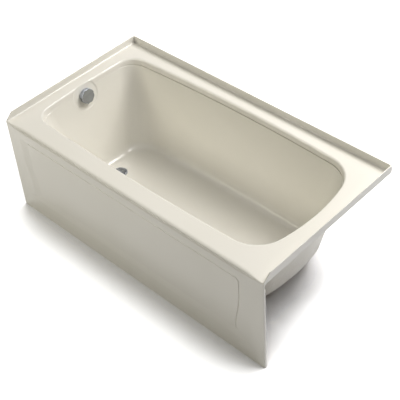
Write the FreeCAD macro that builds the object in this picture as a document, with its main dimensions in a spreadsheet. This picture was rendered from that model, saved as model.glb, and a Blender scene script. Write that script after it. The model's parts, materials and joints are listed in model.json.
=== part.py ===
import FreeCAD, Part
import math
import os
import re
import Sketcher

# Alcove bathtub with an apron front, a tile flange on three sides and a cable-worked waste.
# Frame: +X along the bath from the drain end, -Y is the apron front, +Z up, floor at z = 0.
# The origin is the middle of the footprint on the floor. Millimetres throughout.

Vector = FreeCAD.Vector
doc = FreeCAD.newDocument("alcove_bathtub")
dims = doc.addObject("Spreadsheet::Sheet", "dims")

SIZES = [
    # outside of the bath
    ("bath_length", 1524, "wall to wall length"),
    ("bath_width", 812.8, "apron face to back wall"),
    ("deck_height", 508, "floor to deck"),
    ("flange_rise", 35, "tile flange above the deck"),
    ("flange_thickness", 5, "tile flange"),
    ("flange_root", 7, "radius where the flange rises from the deck"),
    ("flange_edge", 1.5, "radius along the top of the flange"),
    ("flange_end_run", 40, "length of the slope at the flange's front ends"),
    ("front_roll", 20, "radius of the rolled front edge"),
    ("corner_roll", 4, "radius left at the two front corners"),
    ("roll_fade", 110, "length over which the roll dies out"),
    ("cove_radius", 4, "small cove along the rolled edge"),
    ("cove_depth", 1.8, "small cove along the rolled edge"),
    ("cove_angle", 40, "degrees round the roll from the apron's face"),
    ("lip_depth", 34, "front lip below the deck"),
    # formed sheet
    ("shell_thickness", 5, "acrylic sheet"),
    ("bond_gap", 0.3, "resin line between sheet and laminate"),
    ("laminate_thickness", 3.5, "glass fibre backing"),
    ("laminate_margin", 8, "bare border of the deck's underside"),
    # deck round the well, out to the wall lines just under the rim
    ("deck_right", 85, "deck at the back rest end"),
    ("deck_left", 67, "deck at the drain end"),
    ("deck_back", 73.4, "deck along the back"),
    ("deck_front", 99.4, "deck along the apron"),
    ("right_bow", 900, "bow radius of the back rest end"),
    ("left_bow", 4000, "bow radius of the drain end"),
    ("back_bow", 9600, "bow radius of the back wall"),
    ("front_bow", 13800, "bow radius of the front wall"),
    ("right_slope", 13.5, "degrees from upright"),
    ("left_slope", 12, "degrees from upright"),
    ("side_slope", 10.1, "degrees from upright"),
    ("right_corner", 150, "corner radius at the deck, back rest end"),
    ("right_corner_low", 100, "corner radius at the floor, back rest end"),
    ("left_corner", 85, "corner radius at the deck, drain end"),
    ("left_corner_low", 125, "corner radius at the floor, drain end"),
    ("rim_roll", 10, "radius from deck to wall"),
    ("foot_radius", 42, "radius from wall to floor"),
    ("well_floor", 62, "inside floor at the drain, above the room floor"),
    ("floor_fall", 0.01, "fall to the drain, mm per mm"),
    ("crease_drop", 28, "deck to the middle of the groove round the walls"),
    ("crease_half", 3.5, "half the groove's height at its mouth"),
    ("crease_floor", 2.5, "half the groove's height at its floor"),
    ("side_crease", 5, "groove depth in the long walls"),
    ("end_crease", 0.5, "groove depth in the end walls"),
    # apron
    ("apron_thickness", 5, "front panel"),
    ("apron_return", 10, "depth of the panel's two end returns"),
    ("apron_corner", 3, "radius of the bath's two upright front corners"),
    ("field_drop", 62, "deck to the upper edge of the sunk field"),
    ("field_bottom", 92, "height where the field runs out"),
    ("field_full", 132, "height from which the field is at full depth"),
    ("field_depth", 3, "sunk field"),
    ("field_ramp", 5, "width of the slope at the field's top and back rest end"),
    ("field_ramp_drain", 45, "width of the slope at the field's drain end"),
    ("field_reach", 634, "middle to the field's shoulders"),
    ("field_knee_height", 338, "height down to which the ends are upright"),
    ("field_waist", 612, "middle to the field's narrow part"),
    ("field_waist_height", 190, "height of the narrow part"),
    ("field_heel", 616, "middle to the field's heel, at full depth"),
    ("field_flare", 662, "middle to the field's foot"),
    ("field_corner", 20, "radius of the field's upper corner, back rest end"),
    ("field_corner_drain", 8, "radius of the field's upper corner, drain end"),
    ("quirk_radius", 2.2, "fine groove at the foot of the field's edge"),
    ("quirk_end", 136, "height where the fine groove ends"),
    # timber frame behind the apron and under the floor
    ("rail_thickness", 18, "apron rails and posts"),
    ("top_rail_height", 26, "upper rail"),
    ("bottom_rail_height", 38, "lower rail"),
    ("rail_end_gap", 20, "rail short of the bath's end"),
    ("post_width", 45, "apron post"),
    ("post_count", 4, "apron posts"),
    ("seat_gap", 0.2, "bedding between pieces that rest on each other"),
    ("board_thickness", 12, "floor board"),
    ("board_inset_left", 240, "board inside the wall line, drain end"),
    ("board_inset_right", 182, "board inside the wall line, back rest end"),
    ("board_inset_back", 133, "board inside the back wall line"),
    ("board_inset_front", 132, "board inside the front wall line"),
    ("runner_width", 38, "floor runner"),
    ("runner_spacing", 250, "between the two runners"),
    ("runner_inset", 15, "runner short of the board's ends"),
    # waste pipework
    ("tube_radius", 19.05, "tubular waste"),
    ("tube_wall", 1.5, "tubular waste"),
    ("tube_fit", 0.15, "tube in its socket"),
    ("socket_wall", 4, "wall of every socket"),
    ("socket_depth", 28, "tube inside its socket"),
    ("pipe_height", 27, "centre line of the low pipes"),
    ("drain_inset", 252, "bath's end to the drain centre"),
    ("riser_inset", 40, "bath's end to the overflow riser's centre"),
    ("shoe_reach", 110, "drain centre to the mouth of the shoe's socket"),
    ("tee_reach", 44, "tee centre to its mouths"),
    ("tee_stop", 22, "tee centre to the tubes' ends"),
    ("outlet_length", 120, "outlet tube beyond the tee's mouth"),
    ("outlet_bead", 24, "tee's mouth to the bead that stops a joint on the outlet"),
    ("bead_width", 3, "outlet bead"),
    ("bead_rise", 1.6, "outlet bead"),
    ("socket_rest", 5, "tube short of its socket's end"),
    ("head_drop", 56, "overflow centre to the mouth of the head's socket"),
    ("nut_length", 20, "slip nut"),
    ("nut_wall", 3.2, "slip nut over its socket"),
    ("nut_lip", 5, "slip nut's inner lip"),
    ("washer_length", 4, "slip washer"),
    # overflow, along its axis from the drain end's wall line, positive into the well
    ("overflow_drop", 57, "deck to the overflow centre"),
    ("overflow_hole", 29, "hole through the wall"),
    ("pad_radius", 66, "flat round the overflow"),
    ("pad_depth", 2, "flat behind the wall line"),
    ("pad_slope", 3.5, "spread of the flat's edge, mm per mm of height"),
    ("seat_back", 9.3, "flat for the gasket behind the wall"),
    ("gasket_thickness", 5, "overflow gasket"),
    ("gasket_radius", 37, "overflow gasket and head flange"),
    ("head_flange", 5, "head flange thickness"),
    ("head_radius", 27, "head barrel"),
    ("head_bore", 22, "head water way"),
    ("head_back", 50, "head barrel's closed end"),
    ("head_wall", 4, "head barrel's closed end wall"),
    ("chamber_radius", 13, "drum chamber"),
    ("chamber_wall", 2.5, "drum chamber"),
    ("chamber_depth", 11, "drum chamber"),
    ("cap_thickness", 1.5, "drum chamber cap"),
    ("plate_radius", 33, "overflow plate"),
    ("plate_thickness", 3.5, "overflow plate"),
    ("plate_neck", 21.5, "overflow plate's neck"),
    ("neck_depth", 14, "neck behind the plate"),
    ("neck_wall", 2, "neck"),
    ("hub_radius", 7, "spindle bearing"),
    ("window_radius", 5, "water windows in the plate"),
    ("window_circle", 13, "circle of the water windows"),
    ("window_count", 5, "water windows"),
    ("plate_screw", 2, "plate screw shank radius"),
    ("plate_screw_head", 3.8, "plate screw head radius"),
    ("plate_screw_head_height", 2.2, "plate screw head"),
    ("plate_screw_circle", 25.4, "axis to plate screws"),
    ("dial_back", 4.5, "dial's rear edge, into the well"),
    ("dial_depth", 17, "dial"),
    ("dial_radius", 37, "dial"),
    ("dial_wall", 4, "dial rim and face"),
    ("dial_hub", 9, "dial hub"),
    ("flute_radius", 14, "finger flutes"),
    ("flute_depth", 2.6, "finger flutes"),
    ("flute_count", 8, "finger flutes"),
    ("dial_edge", 2, "radius round the dial's face"),
    ("spindle_radius", 3, "dial spindle"),
    ("spindle_front", 15, "spindle's front end, into the well"),
    ("running_fit", 0.05, "radial clearance of turning and sliding pieces"),
    ("drum_core", 3.9, "cable drum under the wire"),
    ("drum_rim", 8, "cable drum"),
    ("drum_width", 8, "cable drum"),
    ("drum_rim_width", 2, "cable drum's rims"),
    ("wire_lever", 5, "drum axis to the wire's centre"),
    ("set_screw", 2, "dial set screw"),
    # cable
    ("wire_radius", 0.8, "inner wire"),
    ("casing_radius", 3, "cable casing"),
    ("gland_radius", 5, "cable glands"),
    ("gland_end", 22, "middle to the head's gland mouth"),
    ("casing_start", 15, "middle to the casing's upper end"),
    ("cable_side", 52, "middle to the cable's long run"),
    ("upper_bend", 30, "cable bend at the head"),
    ("lower_bend", 70, "cable bend at the floor"),
    ("offset_bend", 60, "cable bends by the shoe"),
    ("offset_inset", 112, "bath's end to where the cable turns towards the shoe"),
    ("offset_run", 30, "length of that sideways shift"),
    ("clip_width", 10, "cable clip"),
    ("clip_wall", 2, "cable clip"),
    # drain
    ("seat_depth", 2.5, "drain seat sunk in the floor"),
    ("drain_flange_radius", 36, "drain flange"),
    ("drain_flange_thickness", 3, "drain flange"),
    ("drain_body_radius", 22.5, "drain body"),
    ("drain_body_wall", 3, "drain body"),
    ("drain_body_length", 18, "drain body under its flange"),
    ("drain_mouth", 27, "mouth of the drain's seat"),
    ("bridge_height", 49, "drain bridge, above the room floor"),
    ("bridge_thickness", 4, "drain bridge"),
    ("bridge_width", 4, "drain bridge arms"),
    ("bridge_hub", 6.5, "drain bridge hub"),
    ("shoe_gasket_thickness", 3, "drain gasket"),
    ("shoe_flange_radius", 35, "drain shoe flange"),
    ("shoe_flange_thickness", 4, "drain shoe flange"),
    ("shoe_radius", 26.5, "drain shoe"),
    ("shoe_floor", 5, "underside of the drain shoe"),
    ("shoe_wall", 4, "floor of the drain shoe"),
    ("stopper_radius", 25.5, "stopper cap"),
    ("stopper_edge", 2, "stopper cap at its edge"),
    ("stopper_crown", 3, "stopper cap's rise"),
    ("stopper_lift", 10, "stopper travel"),
    ("stem_radius", 3, "stopper stem"),
    ("seal_radius", 20.5, "stopper seal"),
    ("seal_thickness", 2, "stopper seal"),
    ("part_gap", 0.3, "gap between moving pieces at rest"),
    # lift lever
    ("lift_arm", 24, "pivot to stem"),
    ("push_arm", 18.3, "pivot to plunger"),
    ("pivot_height", 34, "lever pivot"),
    ("lever_pin", 3, "lever shaft and rounded arm ends"),
    ("lever_side", 36, "middle to the push arm"),
    ("arm_width", 8, "both lever arms"),
    ("arm_half", 2.4, "half the thickness of both lever arms"),
    ("boss_radius", 7, "shoe's bearing for the lever shaft"),
    ("boss_end", 31, "middle to the bearing's outer face"),
    ("plunger_radius", 2.5, "plunger"),
    ("plunger_gap", 0.4, "plunger to lever at rest"),
    ("bracket_reach", 88, "drain centre to the cable bracket's outer face"),
    ("bracket_thickness", 10, "cable bracket"),
    ("casing_seat", 3, "casing held in the bracket"),
]

# sizes that follow from the ones above
DERIVED = [
    ("half_length", "bath_length / 2"),
    ("half_width", "bath_width / 2"),
    ("well_right", "half_length - deck_right"),
    ("well_left", "half_length - deck_left"),
    ("well_back", "half_width - deck_back"),
    ("well_front", "half_width - deck_front"),
    ("board_right", "well_right - board_inset_right"),
    ("board_left", "well_left - board_inset_left"),
    ("board_back", "well_back - board_inset_back"),
    ("board_front", "well_front - board_inset_front"),
    ("field_top", "deck_height - field_drop"),
    ("overflow_height", "deck_height - overflow_drop"),
    ("head_socket_end", "overflow_height - head_drop"),
    ("drain_x", "drain_inset - half_length"),
    ("riser_x", "riser_inset - half_length"),
    ("shoe_socket_end", "drain_x - shoe_reach"),
    ("bracket_x", "drain_x - bracket_reach"),
    ("offset_start", "offset_inset - half_length"),
    ("laminate_skin", "shell_thickness + bond_gap + laminate_thickness"),
    ("seam_height", "deck_height - lip_depth"),
    ("apron_back", "-half_width + apron_thickness"),
    ("socket_bore", "tube_radius + tube_fit"),
    ("socket_radius", "socket_bore + socket_wall"),
    ("nut_radius", "socket_radius + nut_wall"),
    ("water_bore", "tube_radius - tube_wall"),
    ("wall_line", "-well_left + (deck_height - rim_roll - overflow_height) * tan(left_slope)"),
    ("head_face", "seat_back + gasket_thickness"),
    ("chamber_back", "head_back + chamber_depth"),
    ("wire_station", "head_back + chamber_depth / 2"),
    ("seat_floor", "well_floor - seat_depth"),
    ("shoe_seat", "well_floor - laminate_skin + part_gap"),
    ("shoe_top", "shoe_seat - shoe_gasket_thickness"),
    ("pivot_x", "drain_x - lift_arm"),
    ("plunger_height", "pivot_height - push_arm"),
    ("board_top", "well_floor - laminate_skin - seat_gap"),
]


def fill_sheet():
    row = 0
    for alias, value, note in SIZES:
        row += 1
        dims.set("A%d" % row, alias)
        dims.set("B%d" % row, str(value))
        dims.set("C%d" % row, note)
        dims.setAlias("B%d" % row, alias)
    for alias, text in DERIVED:
        row += 1
        dims.set("A%d" % row, alias)
        dims.set("B%d" % row, "=" + text)
        dims.setAlias("B%d" % row, alias)
    doc.recompute()


fill_sheet()
ALIASES = {entry[0] for entry in SIZES + DERIVED}


def size(alias):
    return float(dims.get(alias))


def formula(text):
    """Writes each size named in the text as a reference to its cell."""
    return re.sub(r"[a-z_]+", lambda word: "dims." + word.group(0)
                  if word.group(0) in ALIASES else word.group(0), str(text))


def bind(item, sizes, at=None):
    for name, text in sizes.items():
        item.setExpression(name, formula(text))
    for axis, text in zip("xyz", at or ()):
        item.setExpression("Placement.Base." + axis, formula(text))


TURNS = {
    "+Z": FreeCAD.Rotation(),
    "-Z": FreeCAD.Rotation(Vector(1, 0, 0), 180),
    "+X": FreeCAD.Rotation(Vector(0, 1, 0), 90),
    "-X": FreeCAD.Rotation(Vector(0, 1, 0), -90),
    "+Y": FreeCAD.Rotation(Vector(1, 0, 0), -90),
    "-Y": FreeCAD.Rotation(Vector(1, 0, 0), 90),
}


def box(name, length, width, height, at):
    item = doc.addObject("Part::Box", name)
    bind(item, {"Length": length, "Width": width, "Height": height}, at)
    return item


def rod(name, radius, length, at=(0, 0, 0), along="+Z"):
    item = doc.addObject("Part::Cylinder", name)
    item.Placement = FreeCAD.Placement(Vector(), TURNS[along])
    bind(item, {"Radius": radius, "Height": length}, at)
    return item


def cone(name, radius_low, radius_high, length, at):
    item = doc.addObject("Part::Cone", name)
    bind(item, {"Radius1": radius_low, "Radius2": radius_high, "Height": length}, at)
    return item


def join(name, *pieces):
    item = doc.addObject("Part::MultiFuse", name)
    item.Shapes = list(pieces)
    return item


def cut(name, solid, *voids):
    item = doc.addObject("Part::Cut", name)
    item.Base = solid
    item.Tool = voids[0] if len(voids) == 1 else join(name + "_voids", *voids)
    return item


def made(name, shape):
    item = doc.addObject("Part::Feature", name)
    item.Shape = shape
    return item


def prism_box(x, y, z):
    """A box between three pairs of limits."""
    return Part.makeBox(x[1] - x[0], y[1] - y[0], z[1] - z[0], Vector(x[0], y[0], z[0]))


def prism(points, run):
    """A flat outline carried along a vector."""
    return Part.Face(Part.makePolygon(points + points[:1])).extrude(run)


# ---------------------------------------------------------------- well

SIDES = ("right", "back", "left", "front")
CORNERS = (("right", "back", 1, 1), ("back", "left", -1, 1),
           ("left", "front", -1, -1), ("front", "right", 1, -1))


def side_slope(side):
    return math.radians(size(side + "_slope" if side in ("left", "right") else "side_slope"))


def side_circles(height, skin, crease):
    """Centre and radius of the arc that each wall follows at a height."""
    middle_x = (size("well_right") - size("well_left")) / 2
    middle_y = (size("well_back") - size("well_front")) / 2
    fall = size("deck_height") - size("rim_roll") - height
    circles = {}
    for side in SIDES:
        slope = side_slope(side)
        depth = size("end_crease" if side in ("left", "right") else "side_crease")
        reach = size("well_" + side) - fall * math.tan(slope) + skin / math.cos(slope)
        reach += crease * depth
        bow = size(side + "_bow")
        circles[side] = {"right": (reach - bow, middle_y, bow),
                         "back": (middle_x, reach - bow, bow),
                         "left": (bow - reach, middle_y, bow),
                         "front": (middle_x, bow - reach, bow)}[side]
    return circles


def corner_arc(circle_a, circle_b, radius, sign_x, sign_y):
    """Start, middle and end of the arc that touches two wall arcs from inside."""
    ax, ay, ar = circle_a
    bx, by, br = circle_b
    gap_x, gap_y = bx - ax, by - ay
    gap = math.hypot(gap_x, gap_y)
    along = ((ar - radius) ** 2 - (br - radius) ** 2 + gap ** 2) / (2 * gap)
    across = math.sqrt((ar - radius) ** 2 - along ** 2)
    foot_x, foot_y = ax + along * gap_x / gap, ay + along * gap_y / gap
    centre = max(((foot_x - turn * across * gap_y / gap, foot_y + turn * across * gap_x / gap)
                  for turn in (1, -1)), key=lambda spot: sign_x * spot[0] + sign_y * spot[1])
    ends = []
    for x, y, bow in (circle_a, circle_b):
        away = math.hypot(centre[0] - x, centre[1] - y)
        ends.append((x + bow * (centre[0] - x) / away, y + bow * (centre[1] - y) / away))
    lean_x = ends[0][0] + ends[1][0] - 2 * centre[0]
    lean_y = ends[0][1] + ends[1][1] - 2 * centre[1]
    lean = math.hypot(lean_x, lean_y)
    middle = (centre[0] + radius * lean_x / lean, centre[1] + radius * lean_y / lean)
    return ends[0], middle, ends[1]


def well_section(height, skin, crease=0.0, fall=0.0):
    """The well's outline at a height, moved out by a skin: four bowed walls, four corners."""
    circles = side_circles(height, skin, crease)
    sunk = (size("deck_height") - height) / (size("deck_height") - size("well_floor"))
    corners = []
    for side_a, side_b, sign_x, sign_y in CORNERS:
        nearest = "right" if sign_x > 0 else "left"
        high, low = size(nearest + "_corner"), size(nearest + "_corner_low")
        radius = high + (low - high) * sunk + skin
        corners.append(corner_arc(circles[side_a], circles[side_b], radius, sign_x, sign_y))

    def lift(spot):
        return Vector(spot[0], spot[1], height + fall * (spot[0] - size("drain_x")))

    edges = []
    for number, (start, middle, end) in enumerate(corners):
        edges.append(Part.Arc(lift(start), lift(middle), lift(end)).toShape())
        x, y, bow = circles[CORNERS[number][1]]
        following = corners[(number + 1) % len(corners)][0]
        lean_x = (end[0] + following[0]) / 2 - x
        lean_y = (end[1] + following[1]) / 2 - y
        lean = math.hypot(lean_x, lean_y)
        crown = (x + bow * lean_x / lean, y + bow * lean_y / lean)
        edges.append(Part.Arc(lift(end), lift(crown), lift(following)).toShape())
    return Part.Wire(edges)


def edges_at(shape, height, reach_x, reach_y):
    """Edges that lie level at a height, inside a rectangle."""
    level = 0.01
    found = []
    for edge in shape.Edges:
        room = edge.BoundBox
        flat = abs(room.ZMin - height) < level and abs(room.ZMax - height) < level
        if flat and max(abs(room.XMin), abs(room.XMax)) < reach_x \
                and max(abs(room.YMin), abs(room.YMax)) < reach_y:
            found.append(edge)
    return found


def room_above(skin):
    """The open space over the deck and in the well, grown down and out by a skin."""
    top = size("deck_height") - skin
    groove = size("deck_height") - size("crease_drop")
    outlines = [well_section(size("well_floor") - skin, skin, 0, size("floor_fall"))]
    for aside, share in ((-size("crease_half"), 0), (-size("crease_floor"), 1),
                         (size("crease_floor"), 1), (size("crease_half"), 0)):
        outlines.append(well_section(groove + aside, skin, share))
    basin = Part.makeLoft(outlines + [well_section(top, skin)], True, True)
    floor = min(basin.Faces, key=lambda face: face.CenterOfMass.z)
    basin = basin.makeFillet(size("foot_radius") + skin, floor.Edges)
    margin = 50
    reach_x, reach_y = size("half_length") + margin, size("half_width") + margin
    sky = prism_box((-reach_x, reach_x), (-reach_y, reach_y),
                    (top, size("deck_height") + size("flange_rise")))
    room = basin.fuse(sky)
    rim = edges_at(room, top, size("half_length"), size("half_width"))
    return room.makeFillet(size("rim_roll") - skin, rim)


def overflow_frame():
    """Local +Z leaves the drain end's wall at a right angle, local +X points down it."""
    turn = FreeCAD.Rotation(Vector(0, 1, 0), 90 - size("left_slope"))
    return FreeCAD.Placement(Vector(size("wall_line"), 0, size("overflow_height")), turn)


def on_overflow(item):
    item.Placement = overflow_frame()
    bind(item, {}, ("wall_line", 0, "overflow_height"))
    return item


def overflow_rod(radius, start, end):
    """A cylinder on the overflow's axis between two distances into the well."""
    shape = Part.makeCylinder(radius, end - start, Vector(0, 0, start))
    shape.Placement = overflow_frame()
    return shape


def overflow_pad():
    """Room cut for the flat round the overflow; its edge slopes out to the wall."""
    radius, depth, height = size("pad_radius"), size("pad_depth"), 4 * size("pad_depth")
    shape = Part.makeCone(radius, radius + size("pad_slope") * height, height,
                          Vector(0, 0, -depth))
    shape.Placement = overflow_frame()
    return shape


def upright_rod(radius, x, low, high):
    return Part.makeCylinder(radius, high - low, Vector(x, 0, low))


# ---------------------------------------------------------------- shell

def tile_flange():
    """Upstand along the two ends and the back, rounded into the deck."""
    half_x, half_y, deck = size("half_length"), size("half_width"), size("deck_height")
    top = deck + size("flange_rise")
    wall, root = size("flange_thickness"), size("flange_root")
    over = 100
    hollow = prism_box((wall - half_x, half_x - wall), (-half_y - over, half_y - wall),
                       (deck, top + over))
    rounded = []
    for edge in hollow.Edges:
        spot = edge.CenterOfMass
        low = abs(spot.z - deck) < 1 and spot.y > -half_y
        back = abs(spot.y - (half_y - wall)) < 1 and abs(abs(spot.x) - (half_x - wall)) < 1
        if low or back:
            rounded.append(edge)
    hollow = hollow.makeFillet(root, rounded)
    flange = prism_box((-half_x, half_x), (-half_y, half_y), (deck, top)).cut(hollow)
    crest = [edge for edge in flange.Edges
             if abs(edge.BoundBox.ZMin - top) < 0.01 and abs(edge.BoundBox.YMin + half_y) > 1
             or abs(edge.BoundBox.ZMin - top) < 0.01 and edge.Length > half_y]
    flange = flange.makeFillet(size("flange_edge"), crest)
    run, rise, spill = size("flange_end_run"), size("flange_rise"), 0.1
    ramp = prism([Vector(-half_x - 1, -half_y + run * (1 + spill), top + rise * spill),
                  Vector(-half_x - 1, -half_y - run * spill, deck - rise * spill),
                  Vector(-half_x - 1, -half_y - over, deck - rise * spill),
                  Vector(-half_x - 1, -half_y - over, top + rise * spill)],
                 Vector(2 * half_x + 2, 0, 0))
    return flange.cut(ramp)


def front_lip():
    """The deck's front edge turned down, hollow behind."""
    half_x, front, deck = size("half_length"), -size("half_width"), size("deck_height")
    wall, roll = size("shell_thickness"), size("front_roll")
    lip = prism_box((-half_x, half_x), (front, front + roll), (size("seam_height"), deck))
    over = 30
    behind = prism_box((-half_x - 1, half_x + 1), (front + wall, front + roll + over),
                       (size("seam_height") - over, deck - wall))
    inner_edge = [edge for edge in behind.Edges
                  if abs(edge.CenterOfMass.y - (front + wall)) < 0.01
                  and abs(edge.CenterOfMass.z - (deck - wall)) < 0.01 and edge.Length > half_x]
    return lip.cut(behind.makeFillet(roll - wall, inner_edge))


def roll_stations():
    """Places along the front edge with the roll's radius there, tapering at both corners."""
    half_x, fade = size("half_length"), size("roll_fade")
    full, least = size("front_roll"), size("corner_roll")
    steps, spare = 5, 1
    stations = []
    for step in range(steps + 1):
        share = step / steps
        eased = share * share * (3 - 2 * share)
        stations.append((half_x + spare - share * (fade + spare), least + (full - least) * eased))
    return [(-x, radius) for x, radius in stations] + stations[::-1]


def front_roll_waste():
    """What the rolled front edge takes off."""
    front, deck, spare = -size("half_width"), size("deck_height"), 1
    outlines = []
    for x, radius in roll_stations():
        along = math.sqrt(0.5) * radius
        top, face = deck - radius, front + radius
        corner = [Vector(x, front, top), Vector(x, front - spare, top),
                  Vector(x, front - spare, deck + spare), Vector(x, face, deck + spare),
                  Vector(x, face, deck)]
        arc = Part.Arc(Vector(x, face, deck), Vector(x, face - along, top + along),
                       Vector(x, front, top)).toShape()
        outlines.append(Part.Wire(Part.makePolygon(corner).Edges + [arc]))
    return Part.makeLoft(outlines, True, True)


def front_cove_waste():
    """Small cove that runs along the rolled edge and shrinks with it."""
    front, deck = -size("half_width"), size("deck_height")
    angle = math.radians(size("cove_angle"))
    rings = []
    for x, radius in roll_stations():
        share = radius / size("front_roll")
        cove = size("cove_radius") * share
        out = radius + cove - size("cove_depth") * share
        centre = Vector(x, front + radius - out * math.cos(angle),
                        deck - radius + out * math.sin(angle))
        rings.append(Part.Wire(Part.makeCircle(cove, centre, Vector(1, 0, 0))))
    return Part.makeLoft(rings, True, True)


def footprint():
    """The bath's plan with its two front corners rounded, as tall as the bath."""
    half_x, half_y = size("half_length"), size("half_width")
    block = prism_box((-half_x, half_x), (-half_y, half_y),
                      (0, size("deck_height") + size("flange_rise")))
    corners = [edge for edge in block.Edges if abs(edge.BoundBox.YMax + half_y) < 0.01
               and abs(edge.BoundBox.XMax - edge.BoundBox.XMin) < 0.01]
    return block.makeFillet(size("apron_corner"), corners)


def bath_shell():
    half_x, half_y = size("half_length"), size("half_width")
    plan = prism_box((-half_x, half_x), (-half_y, half_y), (0, size("deck_height")))
    sheet = room_above(size("shell_thickness")).common(plan).cut(room_above(0))
    shell = sheet.fuse([tile_flange(), front_lip()]).common(footprint())
    reach = 40
    drain, floor = size("drain_x"), size("well_floor")
    holes = [front_roll_waste(), front_cove_waste(),
             overflow_rod(size("overflow_hole"), -reach, reach),
             overflow_pad(),
             upright_rod(size("drain_body_radius") + size("part_gap"), drain, 0, floor + reach),
             upright_rod(size("drain_flange_radius") + 1, drain, size("seat_floor"),
                         floor + reach)]
    for hole in holes:
        shell = shell.cut(hole)
    return made("bath_shell", shell)


def glass_backing():
    """Laminate sprayed on the back of the sheet."""
    half_x, half_y = size("half_length"), size("half_width")
    margin, drain, reach = size("laminate_margin"), size("drain_x"), 40
    plan = prism_box((margin - half_x, half_x - margin),
                     (size("front_roll") + margin - half_y, half_y - margin),
                     (0, size("deck_height")))
    skin = size("laminate_skin")
    backing = room_above(skin).common(plan)
    holes = [room_above(size("shell_thickness") + size("bond_gap")),
             overflow_rod(size("overflow_hole"), -reach, reach),
             overflow_rod(size("gasket_radius") + 1, -reach, -size("seat_back")),
             upright_rod(size("drain_body_radius") + size("part_gap"), drain, 0,
                         size("well_floor")),
             upright_rod(size("shoe_flange_radius") + 1, drain, 0, size("shoe_seat"))]
    return made("glass_backing", backing.cut(holes))


# ---------------------------------------------------------------- apron

def field_end(y, side, share):
    """One end of the sunk field: a rounded shoulder, a waist and a heel that flares out.

    The share is 0 at the foot of the field's sloping edge and 1 at the apron's face.
    """
    top, foot = size("field_top") + share * size("field_ramp"), size("field_bottom")
    corner = size("field_corner" if side > 0 else "field_corner_drain")
    spread = share * size("field_ramp" if side > 0 else "field_ramp_drain")
    reach = size("field_reach") + spread
    bend = corner * (1 - math.sqrt(0.5))
    shoulder = Vector(side * reach, y, top - corner)
    spots = [shoulder, Vector(side * reach, y, size("field_knee_height")),
             Vector(side * (size("field_waist") + spread), y, size("field_waist_height")),
             Vector(side * (size("field_heel") + spread), y, size("field_full")),
             Vector(side * (size("field_flare") + spread), y, foot)]
    curve = Part.BSplineCurve()
    curve.interpolate(Points=spots, InitialTangent=Vector(0, 0, -1),
                      FinalTangent=(spots[-1] - spots[-2]).normalize())
    arc = Part.Arc(Vector(side * (reach - corner), y, top),
                   Vector(side * (reach - bend), y, top - bend), shoulder)
    return arc, curve


def field_outline(y, share):
    """The sunk field's outline at a depth."""
    right, left = field_end(y, 1, share), field_end(y, -1, share)
    across_top = Part.LineSegment(left[0].StartPoint, right[0].StartPoint)
    across_foot = Part.LineSegment(right[1].EndPoint, left[1].EndPoint)
    return Part.Wire([across_top.toShape(), right[0].toShape(), right[1].toShape(),
                      across_foot.toShape(), left[1].toShape(), left[0].toShape()])


def field_quirk():
    """Fine round groove at the foot of the field's top edge and of its back rest end."""
    radius = size("quirk_radius")
    floor = -size("half_width") + size("field_depth")
    arc, curve = field_end(floor, 1, 0)
    tail = Vector(size("field_heel"), floor, size("quirk_end"))
    curve.segment(curve.FirstParameter, curve.parameter(tail))
    start = Vector(field_end(floor, -1, 0)[0].StartPoint.x, floor, size("field_top"))
    path = Part.Wire([Part.LineSegment(start, arc.StartPoint).toShape(), arc.toShape(),
                      curve.toShape()])
    path.translate(Vector(-radius, 0, -radius))
    ring = Part.Wire(Part.makeCircle(radius, start + Vector(-radius, 0, -radius),
                                     Vector(1, 0, 0)))
    return path.makePipeShell([ring], True, False)


def apron():
    half_x, front, top = size("half_length"), -size("half_width"), size("seam_height")
    wall, depth, back = size("apron_thickness"), size("field_depth"), size("apron_back")
    panel = prism_box((-half_x, half_x), (front, front + size("apron_return")), (0, top))
    panel = panel.common(footprint())
    behind = prism_box((wall - half_x, half_x - wall), (back, front + size("apron_return") + 1),
                       (-1, top + 1))
    panel = panel.cut(behind)
    lap = 8
    flare = size("field_flare") + lap
    thickening = prism_box((-flare - size("field_ramp_drain"), flare), (front, back + depth),
                           (size("field_bottom") - lap, size("field_top") + lap))
    spare = 1
    slope = depth / (size("field_full") - size("field_bottom"))
    wedge = prism([Vector(-half_x, front - spare, size("field_bottom") - spare / slope),
                   Vector(-half_x, front + depth, size("field_full")),
                   Vector(-half_x, front + depth, top), Vector(-half_x, front - spare, top)],
                  Vector(2 * half_x, 0, 0))
    field = Part.makeLoft([field_outline(front + depth, 0),
                           field_outline(front - spare, (depth + spare) / depth)],
                          True, True).common(wedge)
    return made("apron", panel.fuse(thickening).cut(field).cut(field_quirk()))


# ---------------------------------------------------------------- timber

def origin_plane(body, role):
    return [feature for feature in body.Origin.OriginFeatures if feature.Role == role][0]


def sketch_on(body, role, name):
    sketch = body.newObject("Sketcher::SketchObject", name)
    sketch.AttachmentSupport = [(origin_plane(body, role), "")]
    sketch.MapMode = "FlatFace"
    return sketch


def close_loop(sketch, first, count):
    for number in range(count):
        sketch.addConstraint(Sketcher.Constraint("Coincident", first + number, 2,
                                                 first + (number + 1) % count, 1))


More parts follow.
